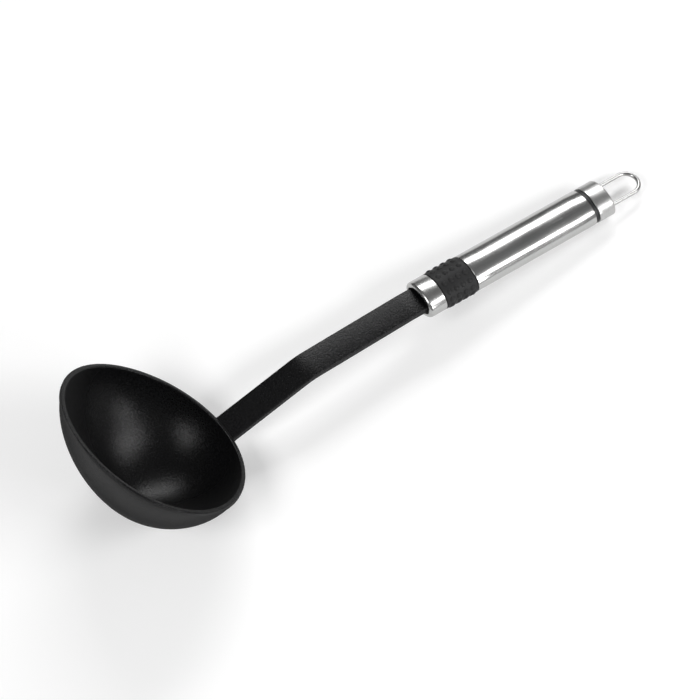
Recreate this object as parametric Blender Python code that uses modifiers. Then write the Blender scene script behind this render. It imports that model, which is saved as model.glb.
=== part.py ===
"""Soup ladle: nylon bowl and shank, oval stainless handle with a rubber grip, and a wire hanging loop.

Blender 4.5, metres, +Z up. Run with blender --background --python part.py.
The ladle lies as it does on a table: on the bowl's round side and the end cap's lower edge.
"""

import math

import bmesh
import bpy
import numpy as np
from mathutils import Matrix, Vector

MM = 0.001
WELD = 0.001 * MM
CLEARANCE = 0.3 * MM  # gap kept between pieces that touch

# Bowl. Its frame has the rim level, the rim's centre at the origin and +X towards the handle.
RIM_RADIUS = 47.5 * MM
BOWL_DEPTH = 42.5 * MM
BOWL_FULLNESS = 1.68  # exponent of the side's curve: 1 is a cone, 2 an ellipse
BOWL_LEAN = 0.235  # how far the bottom leans towards the handle, per unit of depth
BOWL_EGG = 0.017  # three-lobed share of the radius, which draws the rim out towards the handle
WALL = 2.0 * MM
LIP_STAND = 0.4 * MM  # how far the rim's bead stands out from the wall
LIP_HEIGHT = 1.8 * MM
LIP_ROUND = 0.5 * MM
BOWL_SEGMENTS = 72
SIDE_STEPS = 11

# Shank, a flat bar, in the bowl's frame.
SHANK_WIDTH = 14.2 * MM
SHANK_THICKNESS = 3.6 * MM
SHANK_EDGE = 0.9 * MM
ROOT_OUTSIDE = 2.1 * MM  # from the rim's radius out to the bar's middle
ROOT_DROP = 1.45 * MM  # from the rim's plane down to the bar's middle
ROOT_EMBED = 9.0 * MM  # how far the bar runs on into the bowl before the cavity cuts it
LOWER_LENGTH = 45.9 * MM
UPPER_LENGTH = 58.4 * MM
LOWER_ANGLE = math.radians(52.6)
UPPER_ANGLE = math.radians(36.9)
HANDLE_ANGLE = math.radians(33.7)
BEND_RADIUS = 30.0 * MM
LAST_TURN_RADIUS = 40.0 * MM
BEND_STEP = math.radians(4.0)

# Handle. Its frame has +X along the handle from the ferrule's mouth, +Y across, +Z away from the table.
MOUTH_AHEAD = 8.0 * MM  # from the shank's last turn to the mouth
BAR_RAISE = 0.55 * MM  # the bar's middle above the handle's axis
HANDLE_SHOULDER = 3.3 * MM  # how far the handle stands out past each side of the shank
HANDLE_WIDTH = SHANK_WIDTH + 2 * HANDLE_SHOULDER
HANDLE_HEIGHT = 14.4 * MM
OVAL_SEGMENTS = 48
SHELL = 0.7 * MM
FERRULE_LENGTH = 9.5 * MM
NOSE_RADIUS = 1.6 * MM
NOSE_LIP = 2.3 * MM
MOUTH_DEPTH = 1.7 * MM
GRIP_LENGTH = 18.4 * MM
GRIP_WALL = 2.2 * MM
TUBE_LENGTH = 72.2 * MM
SPACER_LENGTH = 1.6 * MM
SPACER_INSET = 0.3 * MM
SPACER_WALL = 1.6 * MM
CAP_LENGTH = 9.7 * MM
CAP_EDGE = 1.0 * MM
EDGE_STEPS = 3

# Nubs of the grip.
NUB_ROWS = 13
NUBS_PER_ROW = 4
NUB_PITCH = 4.07 * MM
NUB_RADIUS = 1.5 * MM
NUB_HEIGHT = 0.5 * MM
NUB_SIDES = 10
NUB_EMBED = 0.5 * MM
NUB_CROWN = 0.55  # width of a nub's top against its foot
NUB_START = math.radians(75.0)

# Inner pieces.
TANG_WIDTH = 9.0 * MM
TANG_THICKNESS = 3.2 * MM
TANG_LENGTH = 38.0 * MM
TANG_OVERLAP = 5.0 * MM  # how far the tang runs back into the bar
PLUG_REACH = 20.0 * MM  # how far the front plug runs on inside the tube
END_PLUG_REACH = 16.0 * MM  # how far the end plug runs back inside the tube
PIN_RADIUS = 1.25 * MM
ROD_SEGMENTS = 24

# Hanging loop, one wire bent to a U that lies across the handle.
WIRE_RADIUS = 1.1 * MM
LOOP_WIDTH = 14.4 * MM
LOOP_REACH = 22.2 * MM
LEG_DEPTH = 13.0 * MM
LOOP_STEPS = 14

# Places along the handle, and across it for the loop's legs.
PLUG_FACE = MOUTH_DEPTH + CLEARANCE
GRIP_START = FERRULE_LENGTH + CLEARANCE
TUBE_START = GRIP_START + GRIP_LENGTH + CLEARANCE
TUBE_END = TUBE_START + TUBE_LENGTH
SPACER_START = TUBE_END + CLEARANCE
CAP_START = SPACER_START + SPACER_LENGTH + CLEARANCE
CAP_END = CAP_START + CAP_LENGTH
LEG_OFFSET = LOOP_WIDTH / 2 - WIRE_RADIUS

NYLON = (0.017, 0.017, 0.018)
RUBBER = (0.022, 0.022, 0.023)
PLASTIC = (0.012, 0.012, 0.013)
STEEL = (0.62, 0.62, 0.61)


def clear_scene():
    for obj in list(bpy.data.objects):
        bpy.data.objects.remove(obj, do_unlink=True)


def material(name, colour, roughness, metallic):
    made = bpy.data.materials.new(name)
    made.use_nodes = True
    shader = made.node_tree.nodes["Principled BSDF"]
    shader.inputs["Base Color"].default_value = (*colour, 1.0)
    shader.inputs["Roughness"].default_value = roughness
    shader.inputs["Metallic"].default_value = metallic
    made.diffuse_color = (*colour, 1.0)
    return made


def add_object(name, data, parent=None, finish=None):
    obj = bpy.data.objects.new(name, data)
    collection.objects.link(obj)
    obj.parent = parent
    if finish:
        data.materials.clear()
        data.materials.append(finish)
    return obj


def baked(obj, name):
    """The object with its modifiers applied, as a plain mesh; the object itself is removed."""
    bpy.context.view_layer.update()
    graph = bpy.context.evaluated_depsgraph_get()
    mesh = bpy.data.meshes.new_from_object(obj.evaluated_get(graph))
    mesh.transform(obj.matrix_world)
    mesh.name = name
    bpy.data.objects.remove(obj, do_unlink=True)
    weld = bmesh.new()
    weld.from_mesh(mesh)
    bmesh.ops.remove_doubles(weld, verts=weld.verts, dist=WELD)
    bmesh.ops.recalc_face_normals(weld, faces=weld.faces)
    weld.to_mesh(mesh)
    weld.free()
    return mesh


def combined(first, second, operation):
    """The mesh first, joined with or cut by the mesh second."""
    kept = add_object(first.name, first)
    tool = add_object(second.name, second)
    step = kept.modifiers.new(operation, "BOOLEAN")
    step.operation = operation
    step.solver = "EXACT"
    step.object = tool
    result = baked(kept, first.name)
    bpy.data.objects.remove(tool, do_unlink=True)
    return result


def arc(centre, radius, start, end, steps):
    """Points on an arc, from start to end in radians."""
    angles = np.linspace(start, end, steps + 1)
    return [(centre[0] + radius * math.cos(a), centre[1] + radius * math.sin(a)) for a in angles]


def turned(name, profile):
    """A solid turned round Z from (radius, height) points that start and end on the axis."""
    mesh = bpy.data.meshes.new(name)
    mesh.from_pydata([(r, 0.0, z) for r, z in profile], [(i, i + 1) for i in range(len(profile) - 1)], [])
    obj = add_object(name, mesh)
    screw = obj.modifiers.new("turn", "SCREW")
    screw.axis = "Z"
    screw.steps = screw.render_steps = BOWL_SEGMENTS
    screw.use_merge_vertices = True
    screw.merge_threshold = WELD
    return baked(obj, name)


def bowl_curve(radius, depth, top):
    """(radius, height) points of the bowl's side, from the height top down to the axis."""
    first = math.asin(min(1.0, (-top / depth) ** (BOWL_FULLNESS / 2)))
    points = []
    for turn in np.linspace(first, math.pi / 2, SIDE_STEPS):
        across = radius * max(0.0, math.cos(turn)) ** (2 / BOWL_FULLNESS)
        points.append((across, -depth * math.sin(turn) ** (2 / BOWL_FULLNESS)))
    points[-1] = (0.0, -depth)
    return points


def shape_bowl(mesh):
    """Draws the turned form out towards the handle and leans its bottom the same way.

    The half turn of a segment puts a flat facet, not an edge, under the bowl, so that it doesn't rock.
    """
    mesh.transform(Matrix.Rotation(math.pi / BOWL_SEGMENTS, 4, "Z"))
    for vertex in mesh.vertices:
        x, y, z = vertex.co
        lobe = 1 + BOWL_EGG * math.cos(3 * math.atan2(y, x))
        vertex.co = (x * lobe - BOWL_LEAN * z, y * lobe, z)


def bar_outline(points, radii, thickness):
    """Side outline of a bar whose middle runs through points, with an arc at each inner point."""
    middle = [Vector(points[0])]
    across = []
    for before, corner, after, radius in zip(points, points[1:], points[2:], radii):
        come = (Vector(corner) - Vector(before)).normalized()
        go = (Vector(after) - Vector(corner)).normalized()
        turn = come.angle_signed(go)
        reach = radius * math.tan(abs(turn) / 2)
        side = Vector((-come.y, come.x)) * (-1 if turn > 0 else 1)
        centre = Vector(corner) - come * reach + side * radius
        steps = max(2, round(abs(turn) / BEND_STEP))
        for i in range(steps + 1):
            spoke = (-side * radius).copy()
            spoke.rotate(Matrix.Rotation(-turn * i / steps, 2))
            middle.append(centre + spoke)
    middle.append(Vector(points[-1]))
    for i, point in enumerate(middle):
        before = middle[max(0, i - 1)]
        after = middle[min(len(middle) - 1, i + 1)]
        along = (after - before).normalized()
        across.append(Vector((-along.y, along.x)) * thickness / 2)
    upper = [p + a for p, a in zip(middle, across)]
    lower = [p - a for p, a in zip(middle, across)]
    return lower + upper[::-1]


def plate(name, outline, width, edge):
    """A flat outline in the XZ plane, given width along Y and rounded edges."""
    curve = bpy.data.curves.new(name, "CURVE")
    curve.dimensions = "2D"
    curve.fill_mode = "BOTH"
    curve.extrude = width / 2
    spline = curve.splines.new("POLY")
    spline.points.add(len(outline) - 1)
    for point, (x, z) in zip(spline.points, outline):
        point.co = (x, z, 0.0, 1.0)
    spline.use_cyclic_u = True
    obj = add_object(name, curve)
    obj.rotation_euler = (math.pi / 2, 0.0, 0.0)
    mesh = baked(obj, name)
    if not edge:
        return mesh
    solid = add_object(name, mesh)
    bevel = solid.modifiers.new("rounded edges", "BEVEL")
    bevel.width = edge
    bevel.segments = 3
    bevel.limit_method = "ANGLE"
    bevel.angle_limit = math.radians(60)
    return baked(solid, name)


def oval_loft(name, stations, ring=False):
    """Lofts the handle's oval through (along, inset) stations: a closed ring, or a capped solid.

    The oval has a flat facet, not an edge, at its bottom, so that the handle doesn't rock on the table.
    """
    build = bmesh.new()
    rings = []
    for along, inset in stations:
        half_width = HANDLE_WIDTH / 2 - inset
        half_height = HANDLE_HEIGHT / 2 - inset
        turns = [2 * math.pi * (i + 0.5) / OVAL_SEGMENTS for i in range(OVAL_SEGMENTS)]
        section = [(along, half_width * math.cos(turn), half_height * math.sin(turn)) for turn in turns]
        rings.append([build.verts.new(point) for point in section])
    pairs = list(zip(rings, rings[1:] + rings[:1])) if ring else list(zip(rings, rings[1:]))
    for first, second in pairs:
        for i in range(OVAL_SEGMENTS):
            j = (i + 1) % OVAL_SEGMENTS
            build.faces.new((first[i], first[j], second[j], second[i]))
    if not ring:
        build.faces.new(rings[0])
        build.faces.new(rings[-1])
    bmesh.ops.recalc_face_normals(build, faces=build.faces)
    mesh = bpy.data.meshes.new(name)
    build.to_mesh(mesh)
    build.free()
    return mesh


def rounded_end(along, inset, radius, facing):
    """Stations that round an end's outer edge: facing is -1 for the front end and 1 for the rear."""
    points = []
    for i in range(EDGE_STEPS + 1):
        angle = math.pi / 2 * i / EDGE_STEPS
        back = radius * (1 - math.sin(angle))
        points.append((along - facing * back, inset + radius * (1 - math.cos(angle))))
    return points if facing > 0 else points[::-1]


def box_mesh(name, low, high):
    build = bmesh.new()
    bmesh.ops.create_cube(build, size=1.0)
    for vertex in build.verts:
        for axis in range(3):
            vertex.co[axis] = (low[axis] + high[axis]) / 2 + vertex.co[axis] * (high[axis] - low[axis])
    mesh = bpy.data.meshes.new(name)
    build.to_mesh(mesh)
    build.free()
    return mesh


def rod_mesh(name, radius, length, centre, axis):
    build = bmesh.new()
    bmesh.ops.create_cone(
        build, cap_ends=True, segments=ROD_SEGMENTS, radius1=radius, radius2=radius, depth=length
    )
    turn = Vector((0, 0, 1)).rotation_difference(Vector(axis)).to_matrix().to_4x4()
    bmesh.ops.transform(build, matrix=Matrix.Translation(centre) @ turn, verts=build.verts)
    mesh = bpy.data.meshes.new(name)
    build.to_mesh(mesh)
    build.free()
    return mesh


def direction(angle):
    return Vector((math.cos(angle), math.sin(angle)))


def bowl_and_shank_mesh():
    wall_radius = RIM_RADIUS - LIP_STAND
    inner_radius = wall_radius - WALL
    outer_centre = (RIM_RADIUS - LIP_ROUND, -LIP_ROUND)
    inner_centre = (inner_radius + LIP_ROUND, -LIP_ROUND)
    outside = [(0.0, 0.0)] + arc(outer_centre, LIP_ROUND, math.pi / 2, 0.0, EDGE_STEPS)
    outside += [(RIM_RADIUS, LIP_STAND - LIP_HEIGHT)] + bowl_curve(wall_radius, BOWL_DEPTH, -LIP_HEIGHT)
    inside = [(0.0, LIP_HEIGHT), (inner_centre[0], LIP_HEIGHT)]
    inside += arc(inner_centre, LIP_ROUND, math.pi / 2, math.pi, EDGE_STEPS)
    inside += bowl_curve(inner_radius, BOWL_DEPTH - WALL, -2 * LIP_ROUND)
    bowl = turned("bowl outside", outside)
    cavity = turned("bowl cavity", inside)
    shape_bowl(bowl)
    shape_bowl(cavity)
    path = [root_point - direction(LOWER_ANGLE) * ROOT_EMBED, bend_point, last_turn, bar_end]
    outline = bar_outline(path, (BEND_RADIUS, LAST_TURN_RADIUS), SHANK_THICKNESS)
    shank = plate("shank", outline, SHANK_WIDTH, SHANK_EDGE)
    tang = box_mesh("tang", *tang_box(PLUG_FACE - CLEARANCE - TANG_OVERLAP, TANG_LENGTH, 0.0))
    pin_hole = rod_mesh("pin hole", PIN_RADIUS + CLEARANCE, HANDLE_WIDTH, pin_centre, (0, 1, 0))
    tang = combined(tang, pin_hole, "DIFFERENCE")
    tang.transform(handle_place)
    whole = combined(combined(bowl, shank, "UNION"), tang, "UNION")
    return combined(whole, cavity, "DIFFERENCE")


def tang_box(start, end, margin):
    """Low and high corners of the tang in the handle's frame, grown all round by margin."""
    half_width = TANG_WIDTH / 2 + margin
    half_thickness = TANG_THICKNESS / 2 + margin
    low = (start, -half_width, BAR_RAISE - half_thickness)
    high = (end + margin, half_width, BAR_RAISE + half_thickness)
    return low, high


def front_ferrule_mesh():
    stations = rounded_end(0.0, 0.0, NOSE_RADIUS, -1)
    stations += [(FERRULE_LENGTH, 0.0), (FERRULE_LENGTH, SHELL), (MOUTH_DEPTH, SHELL), (MOUTH_DEPTH, NOSE_LIP)]
    return oval_loft("front_ferrule", stations + [(0.0, NOSE_LIP)], ring=True)


def front_plug_mesh():
    under_shell = SHELL + CLEARANCE
    under_grip = GRIP_WALL + CLEARANCE
    stations = [
        (PLUG_FACE, under_shell),
        (FERRULE_LENGTH, under_shell),
        (FERRULE_LENGTH, under_grip),
        (TUBE_START, under_grip),
        (TUBE_START, under_shell),
        (TUBE_START + PLUG_REACH, under_shell),
    ]
    plug = oval_loft("front_plug", stations)
    slot = box_mesh("tang slot", *tang_box(-PLUG_FACE, TANG_LENGTH, CLEARANCE))
    pin_hole = rod_mesh("pin hole", PIN_RADIUS + CLEARANCE, HANDLE_WIDTH, pin_centre, (0, 1, 0))
    return combined(combined(plug, slot, "DIFFERENCE"), pin_hole, "DIFFERENCE")


def lock_pin_mesh():
    """The pin ends just inside the sleeve's oval, at the height where that oval is narrowest over the pin."""
    inset = GRIP_WALL + CLEARANCE
    height_share = (BAR_RAISE + PIN_RADIUS) / (HANDLE_HEIGHT / 2 - inset)
    half_length = (HANDLE_WIDTH / 2 - inset) * math.sqrt(1 - height_share**2) - CLEARANCE
    return rod_mesh("lock_pin", PIN_RADIUS, 2 * half_length, pin_centre, (0, 1, 0))


def grip_nubs_mesh():
    build = bmesh.new()
    half_width = HANDLE_WIDTH / 2
    half_height = HANDLE_HEIGHT / 2
    for row in range(NUB_ROWS):
        around = NUB_START + 2 * math.pi * row / NUB_ROWS
        out = Vector((0.0, math.cos(around) / half_width, math.sin(around) / half_height)).normalized()
        turn = Vector((0, 0, 1)).rotation_difference(out).to_matrix().to_4x4()
        for column in range(NUBS_PER_ROW):
            along = GRIP_START + GRIP_LENGTH / 2 + (column - (NUBS_PER_ROW - 1) / 2) * NUB_PITCH
            foot = Vector((along, half_width * math.cos(around), half_height * math.sin(around)))
            centre = foot + out * (NUB_HEIGHT - NUB_EMBED) / 2
            bmesh.ops.create_cone(
                build,
                cap_ends=True,
                segments=NUB_SIDES,
                radius1=NUB_RADIUS,
                radius2=NUB_RADIUS * NUB_CROWN,
                depth=NUB_HEIGHT + NUB_EMBED,
                matrix=Matrix.Translation(centre) @ turn,
            )
    mesh = bpy.data.meshes.new("grip nubs")
    build.to_mesh(mesh)
    build.free()
    return mesh


def grip_sleeve_mesh():
    end = GRIP_START + GRIP_LENGTH
    stations = [
        (GRIP_START, CLEARANCE),
        (GRIP_START + CLEARANCE, 0.0),
        (end - CLEARANCE, 0.0),
        (end, CLEARANCE),
        (end, GRIP_WALL),
        (GRIP_START, GRIP_WALL),
    ]
    return combined(oval_loft("grip_sleeve", stations, ring=True), grip_nubs_mesh(), "UNION")


def band_mesh(name, start, length, inset, wall):
    """A plain oval band: its outside lies inset below the handle's surface, and its inside lies wall below."""
    end = start + length
    return oval_loft(name, [(start, inset), (end, inset), (end, wall), (start, wall)], ring=True)


def with_leg_holes(mesh):
    for side in (-1, 1):
        centre = (CAP_END, side * LEG_OFFSET, 0.0)
        hole = rod_mesh("leg hole", WIRE_RADIUS + CLEARANCE, 2 * (LEG_DEPTH + CLEARANCE), centre, (1, 0, 0))
        mesh = combined(mesh, hole, "DIFFERENCE")
    return mesh


def end_cap_mesh():
    inside = [(CAP_END - SHELL, SHELL), (CAP_START, SHELL)]
    outside = [(CAP_START, 0.0)] + rounded_end(CAP_END, 0.0, CAP_EDGE, 1)
    return with_leg_holes(oval_loft("end_cap", inside + outside))


def end_plug_mesh():
    under_shell = SHELL + CLEARANCE
    neck = SPACER_WALL + CLEARANCE
    stations = [
        (TUBE_END - END_PLUG_REACH, under_shell),
        (TUBE_END, under_shell),
        (TUBE_END, neck),
        (CAP_START, neck),
        (CAP_START, under_shell),
        (CAP_END - SHELL - CLEARANCE, under_shell),
    ]
    return with_leg_holes(oval_loft("end_plug", stations))


def hanging_loop_mesh():
    curve = bpy.data.curves.new("hanging_loop", "CURVE")
    curve.dimensions = "3D"
    curve.bevel_depth = WIRE_RADIUS
    curve.bevel_resolution = 2
    curve.use_fill_caps = True
    crown = CAP_END + LOOP_REACH - LOOP_WIDTH / 2
    bow = arc((crown, 0.0), LEG_OFFSET, -math.pi / 2, math.pi / 2, LOOP_STEPS)
    route = [(CAP_END - LEG_DEPTH, -LEG_OFFSET)] + bow + [(CAP_END - LEG_DEPTH, LEG_OFFSET)]
    spline = curve.splines.new("POLY")
    spline.points.add(len(route) - 1)
    for point, (along, across) in zip(spline.points, route):
        point.co = (along, across, 0.0, 1.0)
    return baked(add_object("hanging_loop", curve), "hanging_loop")


def coordinates(mesh, place):
    return np.array([place @ vertex.co for vertex in mesh.vertices])


def lowest(points, tilt):
    return (points[:, 2] * math.cos(tilt) - points[:, 0] * math.sin(tilt)).min()


def resting_tilt(bowl_points, handle_points):
    """The turn about Y at which the bowl and the handle touch the table together."""
    low = 0.0
    high = math.pi / 2
    for _ in range(50):
        tilt = (low + high) / 2
        if lowest(handle_points, tilt) > lowest(bowl_points, tilt):
            low = tilt
        else:
            high = tilt
    return tilt


clear_scene()
collection = bpy.data.collections.new("soup ladle")
bpy.context.scene.collection.children.link(collection)

root_point = Vector((RIM_RADIUS + ROOT_OUTSIDE, -ROOT_DROP))
bend_point = root_point + direction(LOWER_ANGLE) * LOWER_LENGTH
last_turn = bend_point + direction(UPPER_ANGLE) * UPPER_LENGTH
bar_end = last_turn + direction(HANDLE_ANGLE) * (MOUTH_AHEAD + PLUG_FACE - CLEARANCE)
mouth = last_turn + direction(HANDLE_ANGLE) * MOUTH_AHEAD - direction(HANDLE_ANGLE + math.pi / 2) * BAR_RAISE
pin_centre = Vector((GRIP_START + GRIP_LENGTH / 2, 0.0, BAR_RAISE))
handle_place = Matrix.Translation((mouth.x, 0.0, mouth.y)) @ Matrix.Rotation(-HANDLE_ANGLE, 4, "Y")

nylon = material("black_nylon", NYLON, 0.5, 0.0)
rubber = material("grip_rubber", RUBBER, 0.75, 0.0)
plastic = material("black_plastic", PLASTIC, 0.45, 0.0)
polished = material("polished_steel", STEEL, 0.12, 1.0)
brushed = material("brushed_steel", STEEL, 0.32, 1.0)

bowl_mesh = bowl_and_shank_mesh()
handle_pieces = [
    ("front_ferrule", front_ferrule_mesh(), polished),
    ("front_plug", front_plug_mesh(), plastic),
    ("lock_pin", lock_pin_mesh(), polished),
    ("grip_sleeve", grip_sleeve_mesh(), rubber),
    ("handle_tube", band_mesh("handle_tube", TUBE_START, TUBE_LENGTH, 0.0, SHELL), brushed),
    ("spacer_ring", band_mesh("spacer_ring", SPACER_START, SPACER_LENGTH, SPACER_INSET, SPACER_WALL), plastic),
    ("end_cap", end_cap_mesh(), brushed),
    ("end_plug", end_plug_mesh(), plastic),
    ("hanging_loop", hanging_loop_mesh(), polished),
]

bowl_points = coordinates(bowl_mesh, Matrix.Identity(4))
handle_points = np.concatenate([coordinates(mesh, handle_place) for _, mesh, _ in handle_pieces])
tilt = resting_tilt(bowl_points, handle_points)
every_point = np.concatenate([bowl_points, handle_points])
flat_x = every_point[:, 0] * math.cos(tilt) + every_point[:, 2] * math.sin(tilt)

ladle = add_object("ladle_rest", None)
ladle.rotation_euler = (0.0, tilt, 0.0)
ladle.location = (-(flat_x.min() + flat_x.max()) / 2, 0.0, -lowest(every_point, tilt))
handle = add_object("handle_axis", None, ladle)
handle.location = (mouth.x, 0.0, mouth.y)
handle.rotation_euler = (0.0, -HANDLE_ANGLE, 0.0)

add_object("bowl_and_shank", bowl_mesh, ladle, nylon).data.shade_smooth()
for name, mesh, finish in handle_pieces:
    add_object(name, mesh, handle, finish).data.shade_smooth()
for mesh in bpy.data.meshes:
    mesh.set_sharp_from_angle(angle=math.radians(30.0))
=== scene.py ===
"""Soup ladle: nylon bowl and shank, steel handle with a nubbed rubber grip, and a wire hanging loop."""

import math

import bmesh
import bpy
import numpy as np
from mathutils import Matrix, Vector


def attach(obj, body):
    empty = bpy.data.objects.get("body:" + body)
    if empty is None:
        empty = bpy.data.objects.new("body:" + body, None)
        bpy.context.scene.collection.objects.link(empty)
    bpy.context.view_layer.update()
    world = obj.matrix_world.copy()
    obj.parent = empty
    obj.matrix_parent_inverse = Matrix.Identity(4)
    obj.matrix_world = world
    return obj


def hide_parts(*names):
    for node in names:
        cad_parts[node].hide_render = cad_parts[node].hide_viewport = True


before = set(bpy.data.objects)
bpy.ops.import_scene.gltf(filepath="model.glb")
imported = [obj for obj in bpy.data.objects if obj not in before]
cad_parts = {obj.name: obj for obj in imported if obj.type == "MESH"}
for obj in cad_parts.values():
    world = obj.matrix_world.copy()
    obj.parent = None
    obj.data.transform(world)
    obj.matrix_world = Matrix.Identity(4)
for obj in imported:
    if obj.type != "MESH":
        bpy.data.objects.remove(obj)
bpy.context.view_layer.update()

MM = 0.001

# Where the ladle lies: the rim's centre and its tilt, then the handle's mouth in the bowl's frame.
LADLE_AT = Vector((-0.1218054, 0.0, 0.0465850))
LADLE_TILT = math.radians(39.919)
HANDLE_ANGLE = math.radians(33.7)
BAR_RAISE = 0.55 * MM

# Bowl
RIM_RADIUS = 47.35 * MM
BOWL_DEPTH = 42.42 * MM
BOWL_FULLNESS = 1.68
BOWL_LEAN = 0.235
BOWL_EGG = 0.017
WALL = 2.0 * MM
LIP_STAND = 0.4 * MM
LIP_HEIGHT = 1.8 * MM
LIP_ROUND = 0.55 * MM
BOWL_SEGMENTS = 160
SIDE_STEPS = 44
MERGE = 0.0005 * MM

# Shank
SHANK_WIDTH = 14.2 * MM
SHANK_THICKNESS = 3.6 * MM
SHANK_EDGE = 0.9 * MM
ROOT_OUTSIDE = 2.25 * MM
ROOT_DROP = 1.45 * MM
ROOT_EMBED = 9.0 * MM
ROOT_FLARE = 2.2 * MM
LOWER_LENGTH = 45.9 * MM
UPPER_LENGTH = 58.4 * MM
LOWER_ANGLE = math.radians(52.6)
UPPER_ANGLE = math.radians(36.9)
BEND_RADIUS = 30.0 * MM
LAST_TURN_RADIUS = 40.0 * MM
MOUTH_AHEAD = 8.0 * MM
BEND_STEPS = 16
ROOT_STEP = 0.5 * MM
BAR_STEP = 3.0 * MM

# Handle
HANDLE_WIDTH = 20.8 * MM
HANDLE_HEIGHT = 14.36 * MM
OVAL_SEGMENTS = 144
SHELL = 0.7 * MM
FERRULE_LENGTH = 9.5 * MM
NOSE_RADIUS = 1.6 * MM
NOSE_LIP = 2.3 * MM
NOSE_BREAK = 0.35 * MM
MOUTH_DEPTH = 1.7 * MM
GRIP_START = 9.8 * MM
GRIP_LENGTH = 18.4 * MM
GRIP_WALL = 2.2 * MM
GRIP_ROUND = 0.35 * MM
TUBE_START = 28.5 * MM
TUBE_END = 100.7 * MM
SPACER_START = 101.0 * MM
SPACER_END = 102.6 * MM
SPACER_INSET = 0.3 * MM
SPACER_WALL = 1.6 * MM
CAP_START = 102.9 * MM
CAP_END = 112.6 * MM
CAP_EDGE = 1.0 * MM
SEAM_ROUND = 0.22 * MM

# Nubs
NUB_ROWS = 13
NUBS_PER_ROW = 4
NUB_PITCH = 4.07 * MM
NUB_RADIUS = 1.45 * MM
NUB_HEIGHT = 0.55 * MM
NUB_START = math.radians(75.0)
NUB_SINK = 0.12 * MM

# Hanging loop
WIRE_RADIUS = 1.1 * MM
LOOP_WIDTH = 14.4 * MM
LOOP_REACH = 22.19 * MM
LEG_DEPTH = 13.0 * MM
WIRE_SIDES = 32
CROWN_STEPS = 56
LEG_OFFSET = LOOP_WIDTH / 2 - WIRE_RADIUS
CLEARANCE = 0.3 * MM
HOLE_CLEARANCE = CLEARANCE * 0.6
HOLE_CUT = 6.0 * MM

# Studio
FLOOR_RADIUS = 14.0
FLOOR_GAP = 0.4 * MM
FLOOR_GLOW = 0.26
LAMP_DISTANCE = 1.7
LAMPS_AHEAD = 0.5
SKY_BEHIND = 0.10
SKY_MIDDLE = 0.19
SKY_FRONT = 0.34
CAMERA_AT = Vector((-0.42892, -0.58685, 1.23491))
CAMERA_RIGHT = Vector((0.8072, -0.5901, -0.0090))
CAMERA_BACK = Vector((-0.2931, -0.4142, 0.8617))
CAMERA_LENS = 155.42
SENSOR_WIDTH = 36.0


def direction(angle):
    return Vector((math.cos(angle), math.sin(angle)))


root_point = Vector((RIM_RADIUS + ROOT_OUTSIDE, -ROOT_DROP))
bend_point = root_point + direction(LOWER_ANGLE) * LOWER_LENGTH
last_turn = bend_point + direction(UPPER_ANGLE) * UPPER_LENGTH
handle_up = direction(HANDLE_ANGLE + math.pi / 2)
mouth = last_turn + direction(HANDLE_ANGLE) * MOUTH_AHEAD - handle_up * BAR_RAISE
ladle_place = Matrix.Translation(LADLE_AT) @ Matrix.Rotation(LADLE_TILT, 4, "Y")
handle_turn = Matrix.Rotation(-HANDLE_ANGLE, 4, "Y")
handle_place = ladle_place @ Matrix.Translation((mouth.x, 0.0, mouth.y)) @ handle_turn
HANDLE_SLOPE = LADLE_TILT - HANDLE_ANGLE


# ---------------------------------------------------------------- mesh tools


def mesh_of(name, build):
    bmesh.ops.remove_doubles(build, verts=build.verts, dist=MERGE)
    bmesh.ops.recalc_face_normals(build, faces=build.faces)
    mesh = bpy.data.meshes.new(name)
    build.to_mesh(mesh)
    build.free()
    return mesh


def new_object(name, mesh):
    obj = bpy.data.objects.new(name, mesh)
    bpy.context.scene.collection.objects.link(obj)
    return obj


def baked(obj):
    """The object's evaluated mesh; the object itself is removed."""
    graph = bpy.context.evaluated_depsgraph_get()
    mesh = bpy.data.meshes.new_from_object(obj.evaluated_get(graph))
    mesh.name = obj.name
    bpy.data.objects.remove(obj, do_unlink=True)
    return mesh


def combined(first, second, operation):
    kept = new_object(first.name, first)
    tool = new_object(second.name, second)
    step = kept.modifiers.new(operation, "BOOLEAN")
    step.operation = operation
    step.solver = "EXACT"
    step.object = tool
    result = baked(kept)
    bpy.data.objects.remove(tool, do_unlink=True)
    return result


def loft(name, rings, closed):
    """Quads between rings of points: closed joins the last ring to the first, else the ends are capped."""
    build = bmesh.new()
    made = [[build.verts.new(point) for point in ring] for ring in rings]
    count = len(made[0])
    pairs = list(zip(made, made[1:] + made[:1])) if closed else list(zip(made, made[1:]))
    for first, second in pairs:
        for i in range(count):
            j = (i + 1) % count
            build.faces.new((first[i], first[j], second[j], second[i]))
    if not closed:
        build.faces.new(made[0])
        build.faces.new(made[-1])
    return mesh_of(name, build)


def arc(centre, radius, start, end, steps):
    angles = np.linspace(start, end, steps + 1)
    return [(centre[0] + radius * math.cos(a), centre[1] + radius * math.sin(a)) for a in angles]


# ---------------------------------------------------------------- bowl and shank


def bowl_curve(radius, depth, top):
    first = math.asin(min(1.0, (-top / depth) ** (BOWL_FULLNESS / 2)))
    points = []
    for turn in np.linspace(first, math.pi / 2, SIDE_STEPS):
        across = radius * max(0.0, math.cos(turn)) ** (2 / BOWL_FULLNESS)
        points.append((across, -depth * math.sin(turn) ** (2 / BOWL_FULLNESS)))
    points[-1] = (0.0, -depth)
    return points


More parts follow.
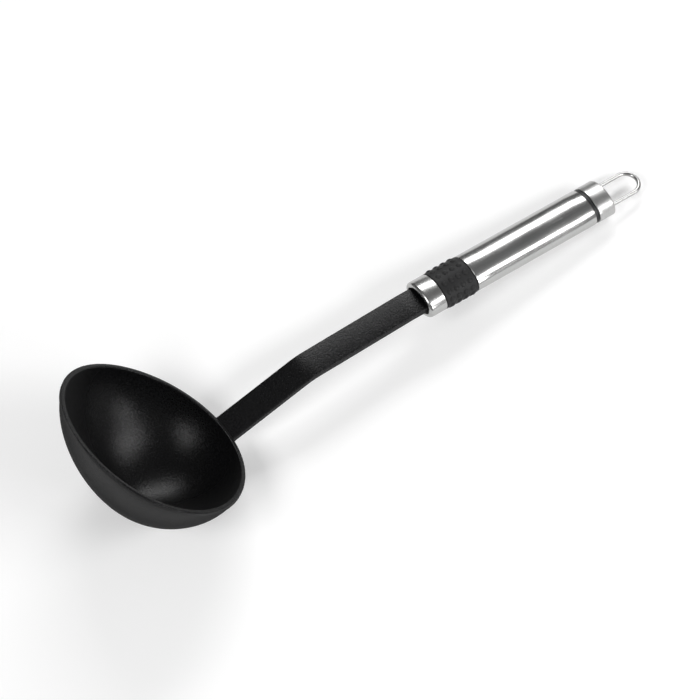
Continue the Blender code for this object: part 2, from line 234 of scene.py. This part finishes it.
def turned_bowl(name, profile):
    """The (radius, height) points turned round the axis, slightly lobed and leant along the handle."""
    build = bmesh.new()
    columns = []
    for i in range(BOWL_SEGMENTS):
        around = 2 * math.pi * (i + 0.5) / BOWL_SEGMENTS
        lobe = 1 + BOWL_EGG * math.cos(3 * around)
        column = []
        for radius, height in profile:
            x = radius * lobe * math.cos(around) - BOWL_LEAN * height
            column.append(build.verts.new((x, radius * lobe * math.sin(around), height)))
        columns.append(column)
    for first, second in zip(columns, columns[1:] + columns[:1]):
        for k in range(len(profile) - 1):
            build.faces.new((first[k], second[k], second[k + 1], first[k + 1]))
    bmesh.ops.remove_doubles(build, verts=build.verts, dist=MERGE)
    bmesh.ops.dissolve_degenerate(build, edges=build.edges, dist=MERGE * 0.8)
    return mesh_of(name, build)


def bowl_meshes():
    wall_radius = RIM_RADIUS - LIP_STAND
    inner_radius = wall_radius - WALL
    outside = [(0.0, 0.0)] + arc((RIM_RADIUS - LIP_ROUND, -LIP_ROUND), LIP_ROUND, math.pi / 2, 0.0, 6)
    outside += arc((RIM_RADIUS - LIP_STAND * 0.5, -LIP_HEIGHT), LIP_STAND * 0.5, 0.0, -math.pi / 2, 4)
    outside += bowl_curve(wall_radius, BOWL_DEPTH, -LIP_HEIGHT - LIP_STAND * 0.8)
    inside = [(0.0, LIP_HEIGHT), (inner_radius + LIP_ROUND, LIP_HEIGHT)]
    inside += arc((inner_radius + LIP_ROUND, -LIP_ROUND), LIP_ROUND, math.pi / 2, math.pi, 6)
    inside += bowl_curve(inner_radius, BOWL_DEPTH - WALL, -2 * LIP_ROUND)
    return turned_bowl("bowl outside", outside), turned_bowl("bowl cavity", inside)


def shank_path():
    """(point, unit direction) stations down the middle of the bar, close together on the lower length."""
    end = last_turn + direction(HANDLE_ANGLE) * (MOUTH_AHEAD + MOUTH_DEPTH - 0.02 * MM)
    corners = [root_point - direction(LOWER_ANGLE) * ROOT_EMBED, bend_point, last_turn, end]
    route = [corners[0]]
    radii = (BEND_RADIUS, LAST_TURN_RADIUS)
    for before, corner, after, radius in zip(corners, corners[1:], corners[2:], radii):
        come = (corner - before).normalized()
        go = (after - corner).normalized()
        turn = come.angle_signed(go)
        reach = radius * math.tan(abs(turn) / 2)
        side = Vector((-come.y, come.x)) * (-1 if turn > 0 else 1)
        centre = corner - come * reach + side * radius
        for i in range(BEND_STEPS + 1):
            spoke = -side * radius
            spoke.rotate(Matrix.Rotation(-turn * i / BEND_STEPS, 2))
            route.append(centre + spoke)
    route.append(corners[-1])
    stations = []
    for i, (here, there) in enumerate(zip(route, route[1:])):
        span = (there - here).length
        steps = max(1, round(span / (ROOT_STEP if i == 0 else BAR_STEP)))
        stations += [here.lerp(there, k / steps) for k in range(steps)]
    stations.append(route[-1])
    ahead = [b - a for a, b in zip(stations, stations[1:])]
    ahead.append(ahead[-1])
    behind = [ahead[0]] + ahead[:-1]
    headings = [(a.normalized() + b.normalized()).normalized() for a, b in zip(ahead, behind)]
    return list(zip(stations, headings))


def rounded_bar(width, thickness, edge):
    """(across, up) points of a rectangle with rounded corners."""
    points = []
    for corner, start in (((1, 1), 0.0), ((-1, 1), 0.5), ((-1, -1), 1.0), ((1, -1), 1.5)):
        centre = (corner[0] * (width / 2 - edge), corner[1] * (thickness / 2 - edge))
        points += arc(centre, edge, start * math.pi, (start + 0.5) * math.pi, 7)
    return points


def shank_mesh():
    rings = []
    wall_out = RIM_RADIUS * (1 + BOWL_EGG)
    for point, along in shank_path():
        up = Vector((-along.y, along.x))
        clear = (point.x - wall_out) / max(along.x, 0.2)
        reach = min(max(clear, 0.0), ROOT_FLARE)
        flare = ROOT_FLARE - math.sqrt(max(0.0, ROOT_FLARE**2 - (ROOT_FLARE - reach) ** 2))
        width = SHANK_WIDTH + 2 * flare * 0.85
        ring = []
        for across, rise in rounded_bar(width, SHANK_THICKNESS, SHANK_EDGE):
            ring.append((point.x + up.x * rise, across, point.y + up.y * rise))
        rings.append(ring)
    return loft("shank", rings, closed=False)


def bowl_and_shank():
    outside, cavity = bowl_meshes()
    whole = combined(combined(outside, shank_mesh(), "UNION"), cavity, "DIFFERENCE")
    whole.transform(ladle_place)
    return whole


# ---------------------------------------------------------------- handle


def oval(along, inset):
    half_width = HANDLE_WIDTH / 2 - inset
    half_height = HANDLE_HEIGHT / 2 - inset
    turns = [2 * math.pi * (i + 0.5) / OVAL_SEGMENTS for i in range(OVAL_SEGMENTS)]
    return [(along, half_width * math.cos(turn), half_height * math.sin(turn)) for turn in turns]


def rounded(along, inset, radius, facing, steps=6):
    """Stations that round an outer edge: facing is -1 for a front end and 1 for a rear end."""
    points = []
    for i in range(steps + 1):
        angle = math.pi / 2 * i / steps
        back = radius * (1 - math.sin(angle))
        points.append((along - facing * back, inset + radius * (1 - math.cos(angle))))
    return points if facing > 0 else points[::-1]


def spread(start, end, inset, steps):
    return [(start + (end - start) * (i + 1) / (steps + 1), inset) for i in range(steps)]


def handle_band(name, stations):
    mesh = loft(name, [oval(along, inset) for along, inset in stations], closed=True)
    mesh.transform(handle_place)
    return mesh


def ferrule():
    stations = rounded(0.0, 0.0, NOSE_RADIUS, -1, 10)
    stations += rounded(FERRULE_LENGTH, 0.0, SEAM_ROUND, 1, 3)
    stations += [(FERRULE_LENGTH, SHELL), (MOUTH_DEPTH, SHELL), (MOUTH_DEPTH, NOSE_LIP)]
    stations += [(NOSE_BREAK, NOSE_LIP), (0.1 * MM, NOSE_LIP - 0.1 * MM), (0.0, NOSE_LIP - 0.32 * MM)]
    return handle_band("ferrule", stations)


def sleeve():
    end = GRIP_START + GRIP_LENGTH
    stations = rounded(GRIP_START, 0.0, GRIP_ROUND, -1, 4) + spread(GRIP_START, end, 0.0, 5)
    stations += rounded(end, 0.0, GRIP_ROUND, 1, 4) + [(end, GRIP_WALL), (GRIP_START, GRIP_WALL)]
    return handle_band("grip", stations)


def tube():
    stations = rounded(TUBE_START, 0.0, SEAM_ROUND, -1, 3) + spread(TUBE_START, TUBE_END, 0.0, 8)
    stations += rounded(TUBE_END, 0.0, SEAM_ROUND, 1, 3) + [(TUBE_END, SHELL), (TUBE_START, SHELL)]
    return handle_band("tube", stations)


def spacer():
    stations = rounded(SPACER_START, SPACER_INSET, SEAM_ROUND, -1, 3)
    stations += rounded(SPACER_END, SPACER_INSET, SEAM_ROUND, 1, 3)
    stations += [(SPACER_END, SPACER_WALL), (SPACER_START, SPACER_WALL)]
    return handle_band("spacer", stations)


def cap():
    """A cup: its closed end is at the rear, with two holes for the loop's legs."""
    stations = [(CAP_END - SHELL, SHELL), (CAP_START, SHELL)] + rounded(CAP_START, 0.0, SEAM_ROUND, -1, 3)
    stations += spread(CAP_START, CAP_END, 0.0, 3) + rounded(CAP_END, 0.0, CAP_EDGE, 1, 8)
    mesh = loft("cap", [oval(along, inset) for along, inset in stations], closed=False)
    for side in (-1, 1):
        build = bmesh.new()
        place = Matrix.Translation((CAP_END, side * LEG_OFFSET, 0.0))
        place = place @ Matrix.Rotation(math.pi / 2, 4, "Y")
        radius = WIRE_RADIUS + HOLE_CLEARANCE
        bmesh.ops.create_cone(
            build, cap_ends=True, segments=48, radius1=radius, radius2=radius, depth=HOLE_CUT, matrix=place
        )
        mesh = combined(mesh, mesh_of("leg hole", build), "DIFFERENCE")
    mesh.transform(handle_place)
    return mesh


def loop():
    """The wire: straight legs and a half-round bend."""
    crown = CAP_END + LOOP_REACH - LOOP_WIDTH / 2
    route = [(CAP_END - LEG_DEPTH, -LEG_OFFSET), (CAP_END, -LEG_OFFSET)]
    route += arc((crown, 0.0), LEG_OFFSET, -math.pi / 2, math.pi / 2, CROWN_STEPS)
    route += [(CAP_END, LEG_OFFSET), (CAP_END - LEG_DEPTH, LEG_OFFSET)]
    rings = []
    for i, here in enumerate(route):
        before = Vector(route[max(0, i - 1)])
        after = Vector(route[min(len(route) - 1, i + 1)])
        along = (after - before).normalized()
        side = Vector((-along.y, along.x))
        ring = []
        for k in range(WIRE_SIDES):
            turn = 2 * math.pi * k / WIRE_SIDES
            out = WIRE_RADIUS * math.cos(turn)
            ring.append((here[0] + side.x * out, here[1] + side.y * out, WIRE_RADIUS * math.sin(turn)))
        rings.append(ring)
    mesh = loft("loop", rings, closed=False)
    mesh.transform(handle_place)
    return mesh


# ---------------------------------------------------------------- nubs, by geometry nodes


def nub_tree(finish):
    """Rows of round nubs on the oval sleeve: a point for each nub, a dome on each point."""
    tree = bpy.data.node_groups.new("grip nubs", "GeometryNodeTree")
    face = tree.interface
    face.new_socket("Geometry", in_out="INPUT", socket_type="NodeSocketGeometry")
    sizes = {}
    for name, kind in (("Nub radius", "NodeSocketFloat"), ("Nub height", "NodeSocketFloat")):
        sizes[name] = face.new_socket(name, in_out="INPUT", socket_type=kind).identifier
    face.new_socket("Geometry", in_out="OUTPUT", socket_type="NodeSocketGeometry")
    nodes = tree.nodes
    links = tree.links
    entry = nodes.new("NodeGroupInput")
    leave = nodes.new("NodeGroupOutput")
    ball = nodes.new("GeometryNodeMeshUVSphere")
    ball.inputs["Segments"].default_value = 28
    ball.inputs["Rings"].default_value = 14
    ball.inputs["Radius"].default_value = 1.0
    shape = nodes.new("ShaderNodeCombineXYZ")
    points = nodes.new("GeometryNodeMeshToPoints")
    outward = nodes.new("GeometryNodeInputNamedAttribute")
    outward.data_type = "FLOAT_VECTOR"
    outward.inputs["Name"].default_value = "outward"
    aim = nodes.new("FunctionNodeAlignRotationToVector")
    aim.axis = "Z"
    dome = nodes.new("GeometryNodeInstanceOnPoints")
    real = nodes.new("GeometryNodeRealizeInstances")
    smooth = nodes.new("GeometryNodeSetShadeSmooth")
    paint = nodes.new("GeometryNodeSetMaterial")
    paint.inputs["Material"].default_value = finish
    links.new(entry.outputs["Nub radius"], shape.inputs["X"])
    links.new(entry.outputs["Nub radius"], shape.inputs["Y"])
    links.new(entry.outputs["Nub height"], shape.inputs["Z"])
    links.new(entry.outputs["Geometry"], points.inputs["Mesh"])
    links.new(points.outputs["Points"], dome.inputs["Points"])
    links.new(ball.outputs["Mesh"], dome.inputs["Instance"])
    links.new(outward.outputs["Attribute"], aim.inputs["Vector"])
    links.new(aim.outputs["Rotation"], dome.inputs["Rotation"])
    links.new(shape.outputs["Vector"], dome.inputs["Scale"])
    links.new(dome.outputs["Instances"], real.inputs["Geometry"])
    links.new(real.outputs["Geometry"], smooth.inputs["Geometry"])
    links.new(smooth.outputs["Geometry"], paint.inputs["Geometry"])
    links.new(paint.outputs["Geometry"], leave.inputs["Geometry"])
    return tree, sizes


def nubs(finish):
    half_width = HANDLE_WIDTH / 2
    half_height = HANDLE_HEIGHT / 2
    feet = []
    outs = []
    for row in range(NUB_ROWS):
        around = NUB_START + 2 * math.pi * row / NUB_ROWS
        out = Vector((0.0, math.cos(around) / half_width, math.sin(around) / half_height)).normalized()
        for column in range(NUBS_PER_ROW):
            along = GRIP_START + GRIP_LENGTH / 2 + (column - (NUBS_PER_ROW - 1) / 2) * NUB_PITCH
            foot = Vector((along, half_width * math.cos(around), half_height * math.sin(around)))
            feet.append(handle_place @ (foot - out * NUB_SINK))
            outs.append(handle_place.to_3x3() @ out)
    mesh = bpy.data.meshes.new("nub feet")
    mesh.from_pydata(feet, [], [])
    mark = mesh.attributes.new("outward", "FLOAT_VECTOR", "POINT")
    mark.data.foreach_set("vector", [value for out in outs for value in out])
    obj = new_object("grip_nubs", mesh)
    tree, sizes = nub_tree(finish)
    step = obj.modifiers.new("nubs", "NODES")
    step.node_group = tree
    step[sizes["Nub radius"]] = NUB_RADIUS
    step[sizes["Nub height"]] = NUB_HEIGHT + NUB_SINK
    return baked(obj)


# ---------------------------------------------------------------- finishes


def finish_of(name, colour, roughness, metallic=0.0):
    made = bpy.data.materials.new(name)
    made.use_nodes = True
    shader = made.node_tree.nodes["Principled BSDF"]
    shader.inputs["Base Color"].default_value = (*colour, 1.0)
    shader.inputs["Roughness"].default_value = roughness
    shader.inputs["Metallic"].default_value = metallic
    return made, shader


def node(tree, kind, **values):
    made = tree.nodes.new(kind)
    for name, value in values.items():
        made.inputs[name.replace("_", " ")].default_value = value
    return made


def calculated(tree, operation, first, second):
    """One Math node: first is a socket, and second a socket or a number."""
    made = tree.nodes.new("ShaderNodeMath")
    made.operation = operation
    tree.links.new(first, made.inputs[0])
    if isinstance(second, float):
        made.inputs[1].default_value = second
    else:
        tree.links.new(second, made.inputs[1])
    return made.outputs["Value"]


def placed(tree, stretch, slope=0.0):
    """Object coordinates, turned level with the handle and stretched along it."""
    where = tree.nodes.new("ShaderNodeTexCoord")
    turn = tree.nodes.new("ShaderNodeMapping")
    turn.vector_type = "POINT"
    turn.inputs["Rotation"].default_value = (0.0, -slope, 0.0)
    tree.links.new(where.outputs["Object"], turn.inputs["Vector"])
    grow = tree.nodes.new("ShaderNodeMapping")
    grow.inputs["Scale"].default_value = stretch
    tree.links.new(turn.outputs["Vector"], grow.inputs["Vector"])
    return grow.outputs["Vector"]


def noise(tree, vector, scale, detail, rough=0.5):
    made = node(tree, "ShaderNodeTexNoise", Scale=scale, Detail=detail, Roughness=rough)
    tree.links.new(vector, made.inputs["Vector"])
    return made.outputs["Fac"]


def ranged(tree, value, low, high, bottom, top):
    made = node(tree, "ShaderNodeMapRange", From_Min=low, From_Max=high, To_Min=bottom, To_Max=top)
    tree.links.new(value, made.inputs["Value"])
    return made.outputs["Result"]


def blended(tree, share, first, second):
    made = tree.nodes.new("ShaderNodeMix")
    made.data_type = "RGBA"
    made.inputs["A"].default_value = (*first, 1.0)
    made.inputs["B"].default_value = (*second, 1.0)
    tree.links.new(share, made.inputs["Factor"])
    return made.outputs["Result"]


def bumped(tree, shader, height, strength, distance, below=None):
    made = node(tree, "ShaderNodeBump", Strength=strength, Distance=distance)
    tree.links.new(height, made.inputs["Height"])
    if below:
        tree.links.new(below.outputs["Normal"], made.inputs["Normal"])
    tree.links.new(made.outputs["Normal"], shader.inputs["Normal"])
    return made


def moulded_nylon():
    """Spark-eroded mould grain: a fine pebble, a finer speckle, and faint wiping marks."""
    made, shader = finish_of("moulded_nylon", (0.007, 0.007, 0.0075), 0.42)
    tree = made.node_tree
    where = placed(tree, (1.0, 1.0, 1.0))
    pebble = noise(tree, where, 1150.0, 2.0, 0.6)
    speckle = noise(tree, where, 3800.0, 1.0)
    cloud = noise(tree, where, 38.0, 3.0)
    first = bumped(tree, shader, pebble, 0.6, 0.0002)
    bumped(tree, shader, speckle, 0.5, 0.00008, first)
    share = ranged(tree, pebble, 0.35, 0.7, 0.0, 1.0)
    tone = blended(tree, share, (0.003, 0.003, 0.0033), (0.0085, 0.0085, 0.009))
    tree.links.new(tone, shader.inputs["Base Color"])
    edge = node(tree, "ShaderNodeLayerWeight", Blend=0.5)
    wiped = ranged(tree, cloud, 0.3, 0.7, 0.22, 0.29)
    glancing = ranged(tree, edge.outputs["Facing"], 0.4, 0.8, 0.0, 0.6)
    tree.links.new(calculated(tree, "ADD", wiped, glancing), shader.inputs["Roughness"])
    shader.inputs["Specular IOR Level"].default_value = 0.2
    return made


def moulded_rubber():
    """Soft black rubber with a dusty, fine surface."""
    made, shader = finish_of("grip_rubber", (0.02, 0.02, 0.021), 0.7)
    tree = made.node_tree
    where = placed(tree, (1.0, 1.0, 1.0))
    fine = noise(tree, where, 2600.0, 2.0, 0.6)
    cloud = noise(tree, where, 120.0, 3.0)
    bumped(tree, shader, fine, 0.4, 0.00006)
    share = ranged(tree, cloud, 0.3, 0.7, 0.0, 1.0)
    tone = blended(tree, share, (0.008, 0.008, 0.0085), (0.015, 0.015, 0.0155))
    tree.links.new(tone, shader.inputs["Base Color"])
    tree.links.new(ranged(tree, fine, 0.3, 0.7, 0.5, 0.66), shader.inputs["Roughness"])
    shader.inputs["Specular IOR Level"].default_value = 0.36
    return made


def moulded_plastic():
    """Satin black plastic of the plugs and the spacer."""
    made, shader = finish_of("satin_plastic", (0.01, 0.01, 0.011), 0.42)
    tree = made.node_tree
    where = placed(tree, (1.0, 1.0, 1.0))
    fine = noise(tree, where, 2200.0, 2.0)
    bumped(tree, shader, fine, 0.25, 0.00004)
    tree.links.new(ranged(tree, fine, 0.3, 0.7, 0.36, 0.5), shader.inputs["Roughness"])
    return made


def brushed_metal(name, roughness, stretch, depth):
    """Stainless steel with fine brush lines: stretch gives the lines' direction on the handle."""
    made, shader = finish_of(name, (0.49, 0.49, 0.485), roughness, 1.0)
    tree = made.node_tree
    where = placed(tree, stretch, HANDLE_SLOPE)
    lines = noise(tree, where, 1.0, 3.0, 0.65)
    wide = noise(tree, placed(tree, tuple(value * 0.22 for value in stretch), HANDLE_SLOPE), 1.0, 2.0)
    smudge = noise(tree, placed(tree, (1.0, 1.0, 1.0)), 60.0, 3.0)
    share = ranged(tree, lines, 0.25, 0.75, 0.0, 1.0)
    tone = blended(tree, share, (0.43, 0.43, 0.425), (0.54, 0.54, 0.535))
    tree.links.new(tone, shader.inputs["Base Color"])
    grain = ranged(tree, lines, 0.25, 0.75, roughness - 0.05, roughness + 0.05)
    wiped = ranged(tree, smudge, 0.3, 0.7, -0.02, 0.03)
    tree.links.new(calculated(tree, "ADD", grain, wiped), shader.inputs["Roughness"])
    first = bumped(tree, shader, lines, depth, 0.00002)
    bumped(tree, shader, wide, depth * 0.35, 0.00002, first)
    return made


def mirror_metal():
    """Polished stainless steel: bright, with very faint polishing marks."""
    made, shader = finish_of("polished_steel", (0.48, 0.48, 0.475), 0.2, 1.0)
    tree = made.node_tree
    where = placed(tree, (140.0, 2200.0, 2200.0), HANDLE_SLOPE)
    lines = noise(tree, where, 1.0, 2.0)
    smudge = noise(tree, placed(tree, (1.0, 1.0, 1.0)), 90.0, 3.0)
    tree.links.new(ranged(tree, smudge, 0.3, 0.7, 0.22, 0.32), shader.inputs["Roughness"])
    bumped(tree, shader, lines, 0.06, 0.00001)
    return made


nylon = moulded_nylon()
rubber = moulded_rubber()
plastic = moulded_plastic()
tube_metal = brushed_metal("brushed_tube", 0.22, (60.0, 5200.0, 5200.0), 0.16)
cap_metal = brushed_metal("brushed_cap", 0.33, (3800.0, 420.0, 420.0), 0.2)
bright = mirror_metal()


# ---------------------------------------------------------------- pieces


def piece(name, mesh, finish, slot, *nodes):
    mesh.materials.clear()
    mesh.materials.append(finish)
    mesh.shade_smooth()
    mesh.set_sharp_from_angle(angle=math.radians(32.0))
    obj = new_object(name, mesh)
    if nodes:
        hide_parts(*nodes)
    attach(obj, "root")


piece("ladle_bowl", bowl_and_shank(), nylon, "nylon", "bowl_and_shank")
piece("ferrule", ferrule(), bright, "polished_steel", "front_ferrule")
piece("grip", sleeve(), rubber, "grip_rubber", "grip_sleeve")
piece("nubs", nubs(rubber), rubber, "grip_rubber")
piece("tube", tube(), tube_metal, "brushed_steel", "handle_tube")
piece("spacer", spacer(), plastic, "plastic", "spacer_ring")
piece("cap", cap(), cap_metal, "brushed_steel", "end_cap")
piece("loop", loop(), bright, "polished_steel", "hanging_loop")
for name, finish in (("front_plug", plastic), ("end_plug", plastic), ("lock_pin", bright)):
    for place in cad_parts[name].material_slots:
        place.material = finish


# ---------------------------------------------------------------- floor, light and camera


def floor():
    build = bmesh.new()
    bmesh.ops.create_circle(build, cap_ends=True, segments=96, radius=FLOOR_RADIUS)
    obj = new_object("floor", mesh_of("floor", build))
    made, shader = finish_of("pale_floor", (0.8, 0.8, 0.8), 0.9)
    tree = made.node_tree
    shader.inputs["Specular IOR Level"].default_value = 0.1
    path = tree.nodes.new("ShaderNodeLightPath")
    direct = path.outputs["Is Camera Ray"]
    mirrored = path.outputs["Is Glossy Ray"]
    through = path.outputs["Is Transmission Ray"]
    seen = calculated(tree, "MAXIMUM", calculated(tree, "MAXIMUM", direct, mirrored), through)
    glow = calculated(tree, "MULTIPLY", seen, FLOOR_GLOW)
    tree.links.new(glow, shader.inputs["Emission Strength"])
    shader.inputs["Emission Color"].default_value = (1.0, 1.0, 1.0, 1.0)
    obj.data.materials.append(made)
    obj.location.z = -FLOOR_GAP


def panel(name, at, width, length, radiance):
    """A rectangular lamp facing the ladle, its length along the handle: radiance is what a mirror shows."""
    lamp = bpy.data.lights.new(name, "AREA")
    lamp.shape = "RECTANGLE"
    lamp.size = width
    lamp.size_y = length
    lamp.energy = radiance * math.pi * width * length
    obj = bpy.data.objects.new(name, lamp)
    bpy.context.scene.collection.objects.link(obj)
    toward = Vector(at).normalized()
    across = toward.cross(Vector((1.0, 0.0, 0.0))).normalized()
    along = toward.cross(across).normalized()
    turn = Matrix((across, along, toward)).transposed()
    obj.matrix_world = Matrix.Translation(at) @ turn.to_4x4()
    obj.visible_camera = False


def over_handle(degrees):
    """A lamp's place: degrees from overhead towards the far side, and a set share ahead along the handle."""
    turn = math.radians(degrees)
    side = math.sqrt(1 - LAMPS_AHEAD**2)
    return Vector((LAMPS_AHEAD, side * math.sin(turn), side * math.cos(turn))) * LAMP_DISTANCE


def lights():
    panel("far_panel", over_handle(42.0), 0.5, 1.2, 6.8)
    panel("near_panel", over_handle(-46.0), 0.37, 1.2, 8.2)
    panel("low_panel", Vector((0.30, -0.90, 0.32)) * LAMP_DISTANCE, 0.3, 0.3, 14.0)
    panel("left_panel", Vector((-0.66, -0.12, 0.74)) * LAMP_DISTANCE, 0.6, 0.6, 9.0)
    world = bpy.data.worlds.new("studio")
    world.use_nodes = True
    tree = world.node_tree
    background = tree.nodes["Background"]
    where = tree.nodes.new("ShaderNodeTexCoord")
    parts = tree.nodes.new("ShaderNodeSeparateXYZ")
    tree.links.new(where.outputs["Generated"], parts.inputs["Vector"])
    shade = ranged(tree, parts.outputs["Y"], -1.0, 1.0, 1.0, 0.0)
    ramp = tree.nodes.new("ShaderNodeValToRGB")
    ramp.color_ramp.elements[0].position = 0.0
    ramp.color_ramp.elements[0].color = (SKY_BEHIND, SKY_BEHIND, SKY_BEHIND, 1.0)
    ramp.color_ramp.elements[1].position = 1.0
    ramp.color_ramp.elements[1].color = (SKY_FRONT, SKY_FRONT, SKY_FRONT, 1.0)
    middle = ramp.color_ramp.elements.new(0.5)
    middle.color = (SKY_MIDDLE, SKY_MIDDLE, SKY_MIDDLE, 1.0)
    tree.links.new(shade, ramp.inputs["Fac"])
    tree.links.new(ramp.outputs["Color"], background.inputs["Color"])
    background.inputs["Strength"].default_value = 1.0
    bpy.context.scene.world = world


def camera():
    back = CAMERA_BACK.normalized()
    up = back.cross(CAMERA_RIGHT).normalized()
    right = up.cross(back).normalized()
    data = bpy.data.cameras.new("camera")
    data.sensor_width = SENSOR_WIDTH
    data.lens = CAMERA_LENS
    data.clip_start = 0.05
    obj = bpy.data.objects.new("camera", data)
    bpy.context.scene.collection.objects.link(obj)
    turn = Matrix((right, up, back)).transposed()
    obj.matrix_world = Matrix.Translation(CAMERA_AT) @ turn.to_4x4()
    bpy.context.scene.camera = obj


floor()
lights()
camera()
bpy.context.scene.view_settings.view_transform = "Standard"

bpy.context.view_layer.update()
